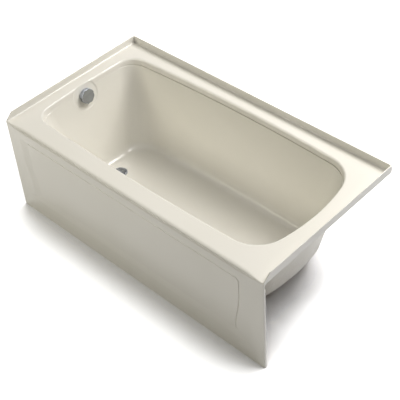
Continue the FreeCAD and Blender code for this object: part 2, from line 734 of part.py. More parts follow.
def timber(name, length, depth, height, at):
    """A sawn length: a rectangle centred on x, padded upwards."""
    body = doc.addObject("PartDesign::Body", name)
    sketch = sketch_on(body, "XY_Plane", name + "_section")
    corners = [Vector(-10, 0), Vector(10, 0), Vector(10, 10), Vector(-10, 10)]
    for number, corner in enumerate(corners):
        sketch.addGeometry(Part.LineSegment(corner, corners[(number + 1) % len(corners)]))
    close_loop(sketch, 0, len(corners))
    sketch.addConstraint(Sketcher.Constraint("Horizontal", 2))
    for line in (1, 3):
        sketch.addConstraint(Sketcher.Constraint("Vertical", line))
    sketch.addConstraint(Sketcher.Constraint("PointOnObject", 0, 1, -1))
    sketch.addConstraint(Sketcher.Constraint("Symmetric", 0, 1, 0, 2, -2))
    sketch.addConstraint(Sketcher.Constraint("DistanceX", 0, 1, 0, 2, 20))
    sketch.setExpression("Constraints[%d]" % (sketch.ConstraintCount - 1), formula(length))
    sketch.addConstraint(Sketcher.Constraint("DistanceY", 1, 1, 1, 2, 10))
    sketch.setExpression("Constraints[%d]" % (sketch.ConstraintCount - 1), formula(depth))
    pad = body.newObject("PartDesign::Pad", name + "_length")
    pad.Profile = sketch
    pad.setExpression("Length", formula(height))
    bind(body, {}, at)
    return body


def apron_frame():
    rail_length = "bath_length - 2 * (apron_thickness + rail_end_gap)"
    rail_top = "deck_height - front_roll"
    rails = [timber("apron_bottom_rail", rail_length, "rail_thickness", "bottom_rail_height",
                    (0, "apron_back", 0)),
             timber("apron_top_rail", rail_length, "rail_thickness", "top_rail_height",
                    (0, "apron_back", rail_top + " - top_rail_height"))]
    count = int(size("post_count"))
    post_y = "apron_back + field_depth + seat_gap"
    post_depth = "rail_thickness - field_depth - seat_gap"
    post_height = rail_top + " - top_rail_height - bottom_rail_height"
    for number in range(count):
        share = number / (count - 1) - 0.5
        x = "%g * (bath_length - 2 * (apron_thickness + rail_end_gap) - post_width)" % share
        rails.append(timber("apron_post_%d" % (number + 1), "post_width", post_depth, post_height,
                            (x, post_y, "bottom_rail_height")))
    return rails


def sloped_slab(name, x, y, low, high):
    """A slab whose top follows the well's fall; low is None where its foot stands level."""
    fall, drain = size("floor_fall"), size("drain_x")

    def corner(along, height, sloped):
        return Vector(along, y[0], height + (fall * (along - drain) if sloped else 0))

    outline = [corner(x[0], low, low > 0), corner(x[1], low, low > 0),
               corner(x[1], high, True), corner(x[0], high, True)]
    return made(name, prism(outline, Vector(0, y[1] - y[0], 0)))


def floor_support():
    left, right = -size("board_left"), size("board_right")
    top = size("board_top")
    low = top - size("board_thickness")
    front, back = -size("board_front"), size("board_back")
    pieces = [sloped_slab("floor_board", (left, right), (front, back), low, top)]
    middle = (front + back) / 2
    half, inset = size("runner_width") / 2, size("runner_inset")
    for name, side in (("floor_runner_front", -1), ("floor_runner_back", 1)):
        y = middle + side * size("runner_spacing") / 2
        pieces.append(sloped_slab(name, (left + inset, right - inset), (y - half, y + half),
                                  0, low))
    return pieces


# ---------------------------------------------------------------- overflow

def overflow_gasket():
    ring = cut("overflow_gasket", rod("gasket_disc", "gasket_radius", "gasket_thickness",
                                      (0, 0, "-head_face")),
               rod("gasket_hole", "overflow_hole", "gasket_thickness + 2",
                   (0, 0, "-head_face - 1")))
    return on_overflow(ring)


def overflow_head():
    """Elbow body behind the wall, with a chamber for the cable drum and a socket below."""
    barrel = join("head_barrel",
                  rod("head_flange_disc", "gasket_radius", "head_flange",
                      (0, 0, "-head_face - head_flange")),
                  rod("head_tube", "head_radius", "head_back - head_face", (0, 0, "-head_back")),
                  rod("head_chamber", "chamber_radius", "chamber_depth + 1",
                      (0, 0, "-chamber_back")),
                  rod("head_gland", "gland_radius", "gland_end - 3",
                      ("wire_lever", -3, "-wire_station"), "-Y"))
    on_overflow(barrel)
    hollow = join("head_hollow",
                  rod("head_way", "head_bore", "head_back - head_wall", (0, 0, "head_wall-head_back")),
                  rod("head_bearing", "spindle_radius + running_fit", "head_back",
                      (0, 0, "-head_back - 1")),
                  rod("head_drum_room", "chamber_radius - chamber_wall", "chamber_depth + 1",
                      (0, 0, "-chamber_back - 1")),
                  rod("head_cap_room", "chamber_radius + part_gap", "head_wall + cap_thickness",
                      (0, 0, "-chamber_back - head_wall - cap_thickness")),
                  rod("head_gland_bore", "casing_radius + part_gap", "gland_end",
                      ("wire_lever", "-casing_start + part_gap", "-wire_station"), "-Y"),
                  rod("head_wire_way", "wire_radius + part_gap", "gland_end",
                      ("wire_lever", 0, "-wire_station"), "-Y"),
                  plate_screw_holes("head_screw", "-head_face - head_flange - 1",
                                    "head_flange + 2"))
    on_overflow(hollow)
    socket = rod("head_socket", "socket_radius", "overflow_height - head_socket_end - 8",
                 ("riser_x", 0, "head_socket_end"))
    socket_bore = rod("head_socket_bore", "socket_bore", "socket_depth",
                      ("riser_x", 0, "head_socket_end - 1"))
    socket_way = rod("head_socket_way", "water_bore", "overflow_height - head_socket_end - 20",
                     ("riser_x", 0, "head_socket_end"))
    return cut("overflow_head", join("head_solid", barrel, socket), hollow, socket_bore, socket_way)


def plate_screw_holes(name, start, length):
    holes = [rod("%s_hole_%d" % (name, number), "plate_screw + 0.1", length,
                 (0, "%d * plate_screw_circle" % side, start))
             for number, side in enumerate((1, -1))]
    return join(name + "_holes", *holes)


def overflow_plate():
    """Retaining plate in the well: carries the spindle and lets the overflow through."""
    count = int(size("window_count"))
    windows = []
    for number in range(count):
        angle = 360 * number / count
        windows.append(rod("plate_window_%d" % number, "window_radius", "plate_thickness + 2",
                           ("window_circle * cos(%g)" % angle, "window_circle * sin(%g)" % angle,
                            "-pad_depth - 1")))
    solid = join("plate_solid",
                 rod("plate_disc", "plate_radius", "plate_thickness", (0, 0, "-pad_depth")),
                 rod("plate_neck_wall", "plate_neck", "neck_depth",
                     (0, 0, "-pad_depth - neck_depth")),
                 )
    hub = rod("plate_hub", "hub_radius", "neck_depth", (0, 0, "-pad_depth - neck_depth"))
    neck_way = cut("plate_neck_way", rod("plate_neck_bore", "plate_neck - neck_wall",
                                         "neck_depth + 1", (0, 0, "-pad_depth - neck_depth - 1")),
                   hub)
    bearing = rod("plate_bearing", "spindle_radius + running_fit",
                  "plate_thickness + neck_depth + 2", (0, 0, "-pad_depth - neck_depth - 1"))
    plate = cut("overflow_plate", solid, neck_way, bearing,
                plate_screw_holes("plate", "-pad_depth - 1", "plate_thickness + 2"), *windows)
    return on_overflow(plate)


def plate_screws():
    pieces = []
    for number, side in enumerate((1, -1)):
        y = "%d * plate_screw_circle" % side
        face = "plate_thickness - pad_depth"
        pieces.append(rod("screw_shank_%d" % number, "plate_screw",
                          "head_face + head_flange + " + face,
                          (0, y, "-head_face - head_flange")))
        pieces.append(rod("screw_head_%d" % number, "plate_screw_head", "plate_screw_head_height",
                          (0, y, face)))
    return on_overflow(join("overflow_screws", *pieces))


def overflow_dial():
    """Fluted turning dial: a cup with a hub, padded and pocketed."""
    body = doc.addObject("PartDesign::Body", "overflow_dial")
    disc = sketch_on(body, "XY_Plane", "dial_disc")
    disc.addGeometry(Part.Circle(Vector(), Vector(0, 0, 1), 30))
    disc.addConstraint(Sketcher.Constraint("Coincident", 0, 3, -1, 1))
    disc.addConstraint(Sketcher.Constraint("Radius", 0, 30))
    disc.setExpression("Constraints[1]", formula("dial_radius"))
    pad = body.newObject("PartDesign::Pad", "dial_blank")
    pad.Profile = disc
    pad.setExpression("Length", formula("dial_depth"))
    doc.recompute()

    flute = sketch_on(body, "XY_Plane", "dial_flute")
    flute.addGeometry(Part.Circle(Vector(40, 0, 0), Vector(0, 0, 1), 5))
    flute.addConstraint(Sketcher.Constraint("PointOnObject", 0, 3, -1))
    flute.addConstraint(Sketcher.Constraint("Radius", 0, 5))
    flute.setExpression("Constraints[1]", formula("flute_radius"))
    flute.addConstraint(Sketcher.Constraint("DistanceX", -1, 1, 0, 3, 40))
    flute.setExpression("Constraints[2]", formula("dial_radius + flute_radius - flute_depth"))
    pocket = body.newObject("PartDesign::Pocket", "dial_flute_cut")
    pocket.Profile = flute
    pocket.Type = "ThroughAll"
    pocket.Reversed = True
    doc.recompute()

    pattern = body.newObject("PartDesign::PolarPattern", "dial_flutes")
    pattern.Originals = [pocket]
    pattern.Axis = (origin_plane(body, "Z_Axis"), [""])
    pattern.Angle = 360
    pattern.setExpression("Occurrences", formula("flute_count"))
    body.Tip = pattern
    doc.recompute()

    face_edges = ["Edge%d" % (number + 1) for number, edge in enumerate(pattern.Shape.Edges)
                  if abs(edge.BoundBox.ZMin - size("dial_depth")) < 0.01]
    rounding = body.newObject("PartDesign::Fillet", "dial_rounding")
    rounding.Base = (pattern, face_edges)
    rounding.setExpression("Radius", formula("dial_edge"))
    doc.recompute()

    hollow = sketch_on(body, "XY_Plane", "dial_hollow")
    for number, radius in enumerate(("dial_radius - flute_depth - dial_wall", "dial_hub")):
        hollow.addGeometry(Part.Circle(Vector(), Vector(0, 0, 1), 30 - 15 * number))
        hollow.addConstraint(Sketcher.Constraint("Coincident", number, 3, -1, 1))
        hollow.addConstraint(Sketcher.Constraint("Radius", number, 30 - 15 * number))
        hollow.setExpression("Constraints[%d]" % (2 * number + 1), formula(radius))
    cavity = body.newObject("PartDesign::Pocket", "dial_cavity")
    cavity.Profile = hollow
    cavity.setExpression("Length", formula("dial_depth - dial_wall"))
    cavity.Reversed = True
    doc.recompute()

    bore = sketch_on(body, "XY_Plane", "dial_bore")
    bore.addGeometry(Part.Circle(Vector(), Vector(0, 0, 1), 3))
    bore.addConstraint(Sketcher.Constraint("Coincident", 0, 3, -1, 1))
    bore.addConstraint(Sketcher.Constraint("Radius", 0, 3))
    bore.setExpression("Constraints[1]", formula("spindle_radius + running_fit"))
    drilled = body.newObject("PartDesign::Pocket", "dial_drilled")
    drilled.Profile = bore
    drilled.setExpression("Length", formula("spindle_front - dial_back + running_fit"))
    drilled.Reversed = True
    doc.recompute()

    tapped = sketch_on(body, "YZ_Plane", "dial_tapping")
    tapped.addGeometry(Part.Circle(Vector(0, 9, 0), Vector(0, 0, 1), 2))
    tapped.addConstraint(Sketcher.Constraint("PointOnObject", 0, 3, -2))
    tapped.addConstraint(Sketcher.Constraint("Radius", 0, 2))
    tapped.setExpression("Constraints[1]", formula("set_screw + running_fit"))
    tapped.addConstraint(Sketcher.Constraint("DistanceY", -1, 1, 0, 3, 9))
    tapped.setExpression("Constraints[2]", formula("(dial_depth - dial_wall) / 2"))
    hole = body.newObject("PartDesign::Pocket", "dial_tapped")
    hole.Profile = tapped
    hole.setExpression("Length", formula("dial_radius + 1"))
    hole.Reversed = True
    doc.recompute()

    body.Placement = overflow_frame().multiply(
        FreeCAD.Placement(Vector(0, 0, size("dial_back")), FreeCAD.Rotation()))
    bind(body, {}, ("wall_line + dial_back * cos(left_slope)", 0,
                    "overflow_height + dial_back * sin(left_slope)"))
    return body


def dial_set_screw():
    """Holds the dial on its spindle, from below."""
    length = "dial_hub - spindle_radius - part_gap"
    screw = rod("dial_set_screw", "set_screw", length)
    screw.Placement = FreeCAD.Placement(
        Vector(), overflow_frame().Rotation.multiply(TURNS["+X"]))
    out = "(dial_back + (dial_depth - dial_wall) / 2)"
    down = "(spindle_radius + part_gap / 2)"
    bind(screw, {}, ("wall_line + %s * cos(left_slope) + %s * sin(left_slope)" % (out, down), 0,
                     "overflow_height + %s * sin(left_slope) - %s * cos(left_slope)" % (out, down)))
    return screw


def spindle_with_drum():
    """Spindle through the head, ending in the grooved cable drum."""
    half = "drum_width / 2"
    rims = [rod("drum_rim_%d" % number, "drum_rim", "drum_rim_width", (0, 0, start))
            for number, start in enumerate(("-wire_station - " + half,
                                            "-wire_station + " + half + " - drum_rim_width"))]
    core = rod("drum_core_rod", "drum_core", "drum_width", (0, 0, "-wire_station - " + half))
    spindle = rod("spindle_rod", "spindle_radius", "spindle_front + wire_station",
                  (0, 0, "-wire_station"))
    return on_overflow(join("dial_spindle", spindle, core, *rims))


def drum_cap():
    return on_overflow(join("drum_cap",
                            rod("drum_cap_disc", "chamber_radius", "cap_thickness",
                                (0, 0, "-chamber_back - cap_thickness")),
                            rod("drum_cap_spigot", "chamber_radius - chamber_wall - part_gap",
                                "1", (0, 0, "-chamber_back"))))


# ---------------------------------------------------------------- pipework

def slip_joint(number, at, along):
    """Nut and washer at a socket's mouth; along points out of the socket."""
    grip = "nut_length - nut_lip - washer_length - part_gap"
    nut = cut("nut_piece_%d" % number,
              rod("nut_blank_%d" % number, "nut_radius", "nut_length", (0, 0, "-(%s)" % grip)),
              rod("nut_thread_%d" % number, "socket_radius + tube_fit", "nut_length - nut_lip",
                  (0, 0, "-(%s)" % grip)),
              rod("nut_mouth_%d" % number, "socket_bore + tube_fit", "nut_length + 2",
                  (0, 0, "-(%s) - 1" % grip)))
    washer = cut("washer_piece_%d" % number,
                 rod("washer_disc_%d" % number, "socket_radius", "washer_length",
                     (0, 0, "part_gap / 2")),
                 rod("washer_hole_%d" % number, "socket_bore", "washer_length + 2"))
    for piece in (nut, washer):
        piece.Placement = FreeCAD.Placement(Vector(), TURNS[along])
        bind(piece, {}, at)
    return nut, washer


def slip_joints():
    mouths = [(("riser_x", 0, "head_socket_end"), "-Z"),
              (("riser_x", 0, "pipe_height + tee_reach"), "+Z"),
              (("riser_x + tee_reach", 0, "pipe_height"), "+X"),
              (("riser_x", "tee_reach", "pipe_height"), "+Y"),
              (("shoe_socket_end", 0, "pipe_height"), "-X")]
    pairs = [slip_joint(number, at, along) for number, (at, along) in enumerate(mouths)]
    return [join("slip_nuts", *[pair[0] for pair in pairs]),
            join("slip_washers", *[pair[1] for pair in pairs])]


def tube(name, length, at, along):
    return cut(name, rod(name + "_outside", "tube_radius", length, at, along),
               rod(name + "_inside", "water_bore", length, at, along))


def pipes():
    rest = "(tee_stop + part_gap)"
    inset = "(socket_depth - socket_rest)"
    outlet = tube("outlet_tube", "tee_reach + outlet_length - " + rest,
                  ("riser_x", rest, "pipe_height"), "+Y")
    bead = cut("outlet_bead_ring",
               rod("bead_disc", "tube_radius + bead_rise", "bead_width",
                   ("riser_x", "tee_reach + outlet_bead", "pipe_height"), "+Y"),
               rod("bead_hole", "tube_radius - tube_wall / 2", "bead_width",
                   ("riser_x", "tee_reach + outlet_bead", "pipe_height"), "+Y"))
    outlet.Label = "outlet_plain_tube"
    beaded = join("outlet_beaded", outlet, bead)
    beaded.Label = "outlet_tube"
    return [tube("overflow_tube", "head_socket_end + %s - pipe_height - %s" % (inset, rest),
                 ("riser_x", 0, "pipe_height + " + rest), "+Z"),
            tube("shoe_arm", "shoe_socket_end + %s - riser_x - %s" % (inset, rest),
                 ("riser_x + " + rest, 0, "pipe_height"), "+X"),
            beaded]


def waste_tee():
    centre = ("riser_x", 0, "pipe_height")
    ways = ("+X", "+Y", "+Z")
    solid = join("tee_solid", *[rod("tee_socket_%d" % number, "socket_radius", "tee_reach",
                                    centre, way) for number, way in enumerate(ways)])
    ball = doc.addObject("Part::Sphere", "tee_ball")
    bind(ball, {"Radius": "socket_radius"}, centre)
    body = join("tee_body", solid, ball)
    middle = doc.addObject("Part::Sphere", "tee_middle")
    bind(middle, {"Radius": "water_bore"}, centre)
    bores = [middle]
    for number, way in enumerate(ways):
        bores.append(rod("tee_way_%d" % number, "water_bore", "tee_reach + 1", centre, way))
        stop = {"+X": ("riser_x + tee_stop", 0, "pipe_height"),
                "+Y": ("riser_x", "tee_stop", "pipe_height"),
                "+Z": ("riser_x", 0, "pipe_height + tee_stop")}[way]
        bores.append(rod("tee_bore_%d" % number, "socket_bore", "tee_reach", stop, way))
    return cut("waste_tee", body, *bores)


# ---------------------------------------------------------------- drain

def drain_shoe():
    """Elbow under the drain: seat, socket, lever bearing and cable bracket."""
    length = "drain_x - shoe_socket_end"
    solid = join("shoe_solid",
                 rod("shoe_cup", "shoe_radius", "shoe_top - shoe_floor",
                     ("drain_x", 0, "shoe_floor")),
                 rod("shoe_flange_disc", "shoe_flange_radius", "shoe_flange_thickness",
                     ("drain_x", 0, "shoe_top - shoe_flange_thickness")),
                 rod("shoe_socket", "socket_radius", length, ("shoe_socket_end", 0, "pipe_height"),
                     "+X"),
                 rod("shoe_boss", "boss_radius", "boss_end - 8", ("pivot_x", -8, "pivot_height"),
                     "-Y"),
                 box("shoe_bracket", "bracket_thickness", "lever_side - 8",
                     "2 * gland_radius + 2", ("bracket_x", "-lever_side - gland_radius",
                                              "plunger_height - gland_radius - 1")))
    voids = [rod("shoe_well", "drain_body_radius + running_fit", "shoe_top",
                 ("drain_x", 0, "shoe_floor + shoe_wall")),
             rod("shoe_way", "water_bore", length, ("shoe_socket_end", 0, "pipe_height"), "+X"),
             rod("shoe_bore", "socket_bore", "socket_depth",
                 ("shoe_socket_end - 3", 0, "pipe_height"), "+X"),
             rod("shoe_bearing", "lever_pin + running_fit", "boss_end + 1",
                 ("pivot_x", 0, "pivot_height"), "-Y"),
             rod("bracket_bore", "plunger_radius + running_fit", "bracket_thickness + 2",
                 ("bracket_x - 1", "-lever_side", "plunger_height"), "+X"),
             rod("bracket_seat", "casing_radius + tube_fit", "casing_seat + 1",
                 ("bracket_x - 1", "-lever_side", "plunger_height"), "+X")]
    return cut("drain_shoe", solid, *voids)


def drain_gasket():
    return cut("drain_gasket",
               rod("drain_gasket_disc", "shoe_flange_radius", "shoe_gasket_thickness",
                   ("drain_x", 0, "shoe_top")),
               rod("drain_gasket_hole", "drain_body_radius + running_fit",
                   "shoe_gasket_thickness + 2", ("drain_x", 0, "shoe_top - 1")))


def drain_flange():
    """Chrome flange and threaded body, with a bridge that guides the stem."""
    low = "seat_floor - drain_body_length"
    bore = "drain_body_radius - drain_body_wall"
    top = "seat_floor + drain_flange_thickness"
    shell = cut("drain_flange_shell",
                join("drain_flange_solid",
                     rod("drain_rim", "drain_flange_radius", "drain_flange_thickness",
                         ("drain_x", 0, "seat_floor")),
                     rod("drain_body", "drain_body_radius", "drain_body_length",
                         ("drain_x", 0, low))),
                rod("drain_bore", bore, "drain_body_length + drain_flange_thickness + 2",
                    ("drain_x", 0, low + " - 1")),
                cone("drain_throat", bore, "drain_mouth + 0.5", "drain_flange_thickness + 2.5",
                     ("drain_x", 0, top + " - drain_flange_thickness - 2")))
    arms = [box("bridge_arm_x", "2 * drain_body_radius - drain_body_wall", "bridge_width",
                "bridge_thickness", ("drain_x - drain_body_radius + drain_body_wall / 2",
                                     "-bridge_width / 2", "bridge_height")),
            box("bridge_arm_y", "bridge_width", "2 * drain_body_radius - drain_body_wall",
                "bridge_thickness", ("drain_x - bridge_width / 2",
                                     "-drain_body_radius + drain_body_wall / 2",
                                     "bridge_height"))]
    hub = rod("bridge_hub_disc", "bridge_hub", "bridge_thickness", ("drain_x", 0, "bridge_height"))
    guide = rod("bridge_guide", "stem_radius + running_fit", "bridge_thickness + 2",
                ("drain_x", 0, "bridge_height - 1"))
    return cut("drain_flange", join("drain_flange_whole", shell, hub, *arms), guide)


def revolved(name, outline, at):
    """A turned piece: an outline in the upright plane, revolved about the upright axis."""
    body = doc.addObject("PartDesign::Body", name)
    sketch = sketch_on(body, "XZ_Plane", name + "_profile")
    count = len(outline)
    spots = [Vector(size_of(x), size_of(z), 0) for x, z in outline]
    for number in range(count):
        sketch.addGeometry(Part.LineSegment(spots[number], spots[(number + 1) % count]))
    close_loop(sketch, 0, count)
    for number, (x, z) in enumerate(outline):
        for kind, text in (("DistanceX", x), ("DistanceY", z)):
            value = size_of(text)
            if abs(value) < 1e-9:
                axis = -2 if kind == "DistanceX" else -1
                sketch.addConstraint(Sketcher.Constraint("PointOnObject", number, 1, axis))
            else:
                sketch.addConstraint(Sketcher.Constraint(kind, -1, 1, number, 1, value))
                sketch.setExpression("Constraints[%d]" % (sketch.ConstraintCount - 1),
                                     formula(text))
    turned = body.newObject("PartDesign::Revolution", name + "_turned")
    turned.Profile = sketch
    turned.ReferenceAxis = (sketch, ["V_Axis"])
    turned.Angle = 360
    bind(body, {}, at)
    doc.recompute()
    return body


def size_of(text):
    """The value of a formula over the sheet's sizes."""
    return float(dims.evalExpression(formula(text)))


def drain_stopper():
    """Domed cap on a stem; its foot rests on the lift lever."""
    foot = "pivot_height + lever_pin + part_gap"
    rest = "seat_floor + drain_flange_thickness + part_gap - (%s)" % foot
    seal_top = rest + " - part_gap - 1"
    return revolved("drain_stopper",
                    [("0", "0"), ("stem_radius", "0"),
                     ("stem_radius", seal_top + " - seal_thickness - 1"),
                     ("stem_radius + 4", seal_top + " - seal_thickness - 1"),
                     ("stem_radius + 4", rest), ("stopper_radius", rest),
                     ("stopper_radius", rest + " + stopper_edge"),
                     ("stopper_radius * 0.75", rest + " + stopper_edge + stopper_crown * 0.5"),
                     ("stopper_radius * 0.4", rest + " + stopper_edge + stopper_crown * 0.87"),
                     ("0", rest + " + stopper_edge + stopper_crown")],
                    ("drain_x", 0, foot))


def stopper_seal():
    z = "seat_floor + drain_flange_thickness - seal_thickness"
    return cut("stopper_seal",
               rod("seal_disc", "seal_radius", "seal_thickness", ("drain_x", 0, z)),
               rod("seal_hole", "stem_radius + 4 + running_fit", "seal_thickness + 2",
                   ("drain_x", 0, z + " - 1")))


def lift_lever():
    """Shaft through the shoe's wall with an arm under the stem and an arm at the cable."""
    shaft = rod("lever_shaft", "lever_pin", "lever_side + arm_width", (
        "pivot_x", "arm_width / 2", "pivot_height"), "-Y")
    lift = box("lever_lift", "lift_arm", "arm_width", "2 * arm_half",
               ("pivot_x", "-arm_width / 2", "pivot_height - arm_half"))
    lift_end = rod("lever_lift_end", "lever_pin", "arm_width",
                   ("drain_x", "-arm_width / 2", "pivot_height"), "+Y")
    push = box("lever_push", "2 * arm_half", "arm_width", "push_arm",
               ("pivot_x - arm_half", "-lever_side - arm_width / 2", "plunger_height"))
    push_end = rod("lever_push_end", "lever_pin", "arm_width",
                   ("pivot_x", "-lever_side - arm_width / 2", "plunger_height"), "+Y")
    return join("lift_lever", shaft, lift, lift_end, push, push_end)


def cable_plunger():
    """Pushes the lever; a stub of wire reaches back into the casing."""
    start = "bracket_x + casing_seat + part_gap"
    nose = "pivot_x - lever_pin - plunger_gap"
    return join("cable_plunger",
                rod("plunger_rod", "plunger_radius", "%s - (%s)" % (nose, start),
                    (start, "-lever_side", "plunger_height"), "+X"),
                rod("plunger_wire", "wire_radius", "casing_seat + 9",
                    ("bracket_x - 9 + part_gap", "-lever_side", "plunger_height"), "+X"))


# ---------------------------------------------------------------- cable

def cable_route():
    """The casing's corners, and the bend radius at each inner corner."""
    frame = overflow_frame()
    start = frame.multVec(Vector(size("wire_lever"), -size("casing_start"), -size("wire_station")))
    low, side, shoe_side = size("plunger_height"), -size("cable_side"), -size("lever_side")
    turn = size("offset_start")
    corners = [start, Vector(start.x, side, start.z), Vector(start.x, side, low),
               Vector(turn, side, low), Vector(turn + size("offset_run"), shoe_side, low),
               Vector(size("bracket_x") + size("casing_seat"), shoe_side, low)]
    return corners, [size("upper_bend"), size("lower_bend"), size("offset_bend"),
                     size("offset_bend")]


def rounded_path(corners, radii):
    """Straight runs joined by tangent arcs."""
    edges, here = [], corners[0]
    for number, radius in enumerate(radii):
        before, corner, after = corners[number:number + 3]
        inward, outward = (before - corner).normalize(), (after - corner).normalize()
        turn = math.pi - inward.getAngle(outward)
        back = radius * math.tan(turn / 2)
        start, end = corner + inward * back, corner + outward * back
        bisector = (inward + outward).normalize()
        middle = corner + bisector * (radius / math.cos(turn / 2) - radius)
        edges.append(Part.LineSegment(here, start).toShape())
        edges.append(Part.Arc(start, middle, end).toShape())
        here = end
    edges.append(Part.LineSegment(here, corners[-1]).toShape())
    return Part.Wire(edges)


def cable_casing():
    corners, radii = cable_route()
    path = rounded_path(corners, radii)
    along = (corners[1] - corners[0]).normalize()
    ring = Part.Wire(Part.makeCircle(size("casing_radius"), corners[0], along))
    casing = path.makePipeShell([ring], True, False)
    print("cable casing: length %.1f mm, bends %s mm, volume %.0f against %.0f" % (
        path.Length, radii, casing.Volume, math.pi * size("casing_radius") ** 2 * path.Length))
    end = corners[-1]
    depth = 10 + size("casing_seat")
    bore = Part.makeCylinder(size("wire_radius") + size("part_gap"), depth,
                             Vector(end.x - depth, end.y, end.z), Vector(1, 0, 0))
    return made("cable_casing", casing.cut(bore))


def cable_wire():
    """Bare wire between the drum and the casing's upper end."""
    start = overflow_frame().multVec(Vector(size("wire_lever"), 0, -size("wire_station")))
    wire = Part.makeCylinder(size("wire_radius"), size("casing_start") - size("part_gap"), start,
                             Vector(0, -1, 0))
    return made("cable_wire", wire)


def cable_clips():
    """Two spring clips that hold the casing to the riser."""
    corners = cable_route()[0]
    cable_x, cable_y = corners[1].x, corners[1].y
    riser, wall, width = size("riser_x"), size("clip_wall"), size("clip_width")
    grip, hold = size("tube_radius") + size("part_gap"), size("casing_radius") + size("part_gap")
    clips = []
    for share in (0.3, 0.75):
        low = share * size("head_socket_end")
        hoop = Part.makeCylinder(grip + wall, width, Vector(riser, 0, low))
        eye = Part.makeCylinder(hold + wall, width, Vector(cable_x, cable_y, low))
        reach = Vector(cable_x - riser, cable_y, 0)
        side = Vector(-reach.y, reach.x, 0).normalize() * (wall / 2)
        base = Vector(riser, 0, low)
        web = prism([base + side, base + side + reach, base - side + reach, base - side],
                    Vector(0, 0, width))
        clip = hoop.fuse([eye, web])
        clip = clip.cut([Part.makeCylinder(grip, width, Vector(riser, 0, low)),
                         Part.makeCylinder(hold, width, Vector(cable_x, cable_y, low))])
        clips.append(clip)
    return made("cable_clips", Part.makeCompound(clips))


# ---------------------------------------------------------------- assembly

def build():
    nodes = [bath_shell(), glass_backing(), apron()]
    nodes += apron_frame()
    nodes += floor_support()
    nodes += [overflow_gasket(), overflow_head(), overflow_plate(), plate_screws()]
    nodes += [overflow_dial(), dial_set_screw(), spindle_with_drum(), drum_cap()]
    nodes += slip_joints()
    nodes += pipes()
    nodes += [waste_tee(), drain_shoe(), drain_gasket(), drain_flange()]
    nodes += [drain_stopper(), stopper_seal(), lift_lever(), cable_plunger()]
    nodes += [cable_casing(), cable_wire(), cable_clips()]
    return nodes


def check(nodes):
    for item in doc.Objects:
        if "Invalid" in item.State or "Error" in item.State:
            raise RuntimeError("%s is %s" % (item.Label, item.State))
    for node in nodes:
        if node.Shape.isNull() or not node.Shape.isValid() or not node.Shape.Solids:
            raise RuntimeError("%s has no sound shape" % node.Label)


def write(nodes):
    os.makedirs("parts", exist_ok=True)
    for node in nodes:
        node.Shape.exportStep("parts/%s.step" % node.Label)
        print("%-22s %d solids %12.0f mm3" % (node.Label, len(node.Shape.Solids),
                                             node.Shape.Volume))


assembly = build()
doc.recompute()
check(assembly)
write(assembly)
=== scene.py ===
import json
import math

import bmesh
import bpy
from mathutils import Matrix, Vector


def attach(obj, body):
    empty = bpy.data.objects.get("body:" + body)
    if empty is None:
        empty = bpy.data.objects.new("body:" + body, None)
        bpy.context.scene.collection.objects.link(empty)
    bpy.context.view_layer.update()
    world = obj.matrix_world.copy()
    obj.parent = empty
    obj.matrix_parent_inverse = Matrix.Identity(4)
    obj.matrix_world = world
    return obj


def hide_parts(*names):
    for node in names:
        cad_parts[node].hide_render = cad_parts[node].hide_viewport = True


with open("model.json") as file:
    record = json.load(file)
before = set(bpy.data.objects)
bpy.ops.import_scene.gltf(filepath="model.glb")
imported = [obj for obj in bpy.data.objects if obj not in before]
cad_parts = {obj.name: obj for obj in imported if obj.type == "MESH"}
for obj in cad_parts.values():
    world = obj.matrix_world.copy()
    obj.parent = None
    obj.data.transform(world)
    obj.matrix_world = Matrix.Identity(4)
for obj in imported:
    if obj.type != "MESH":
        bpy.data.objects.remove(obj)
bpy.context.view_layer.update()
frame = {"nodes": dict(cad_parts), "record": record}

# metres: +X from the drain end to the back rest, -Y out of the apron, +Z up
nodes = frame["nodes"]
print("frame loaded:", len(nodes), "nodes")


def linearColour(text):
    # sRGB hex to the linear colour that a socket takes
    parts = [int(text[place:place + 2], 16) / 255 for place in (0, 2, 4)]
    return [part / 12.92 if part <= 0.04045 else ((part + 0.055) / 1.055) ** 2.4
            for part in parts] + [1]


def addNode(tree, kind, settings, links=None):
    # settings are sockets by name or number, "stops" of a ramp, or the node's own properties
    node = tree.nodes.new("ShaderNode" + kind)
    for name, value in settings.items():
        if name == "stops":
            ramp = node.color_ramp.elements
            for number, (place, colour) in enumerate(value):
                stop = ramp[number] if number < len(ramp) else ramp.new(place)
                stop.position, stop.color = place, linearColour(colour)
        elif isinstance(name, int) or name in node.inputs:
            node.inputs[name].default_value = value
        else:
            setattr(node, name, value)
    for name, (source, output) in (links or {}).items():
        tree.links.new(source.outputs[output], node.inputs[name])
    return node


def newMaterial(name):
    material = bpy.data.materials.new(name)
    material.use_nodes = True
    tree = material.node_tree
    tree.nodes.clear()
    return material, tree


acrylic = {
    "tones": [(0.35, "e4e2da"), (0.65, "e6e4dd")],    # almond, a trace deeper where drawn
    "drawn": 0.4,             # metres between one deeper place and the next
    "clean": 0.11,            # roughness off the polished mould
    "wiped": 0.17,            # roughness where it has been wiped
    "wipedFrom": 0.4,         # noise level at which the wiped places begin
    "wipedTo": 0.7,           # and at which they are fully wiped
    "ior": 1.49,
    "ripple": 0.035,          # metres, slow ripple left by forming
    "rippleBump": {"Strength": 0.05, "Distance": 0.0006},
    "peel": 0.0016,           # metres, orange peel
    "peelBump": {"Strength": 0.04, "Distance": 0.00003},
}


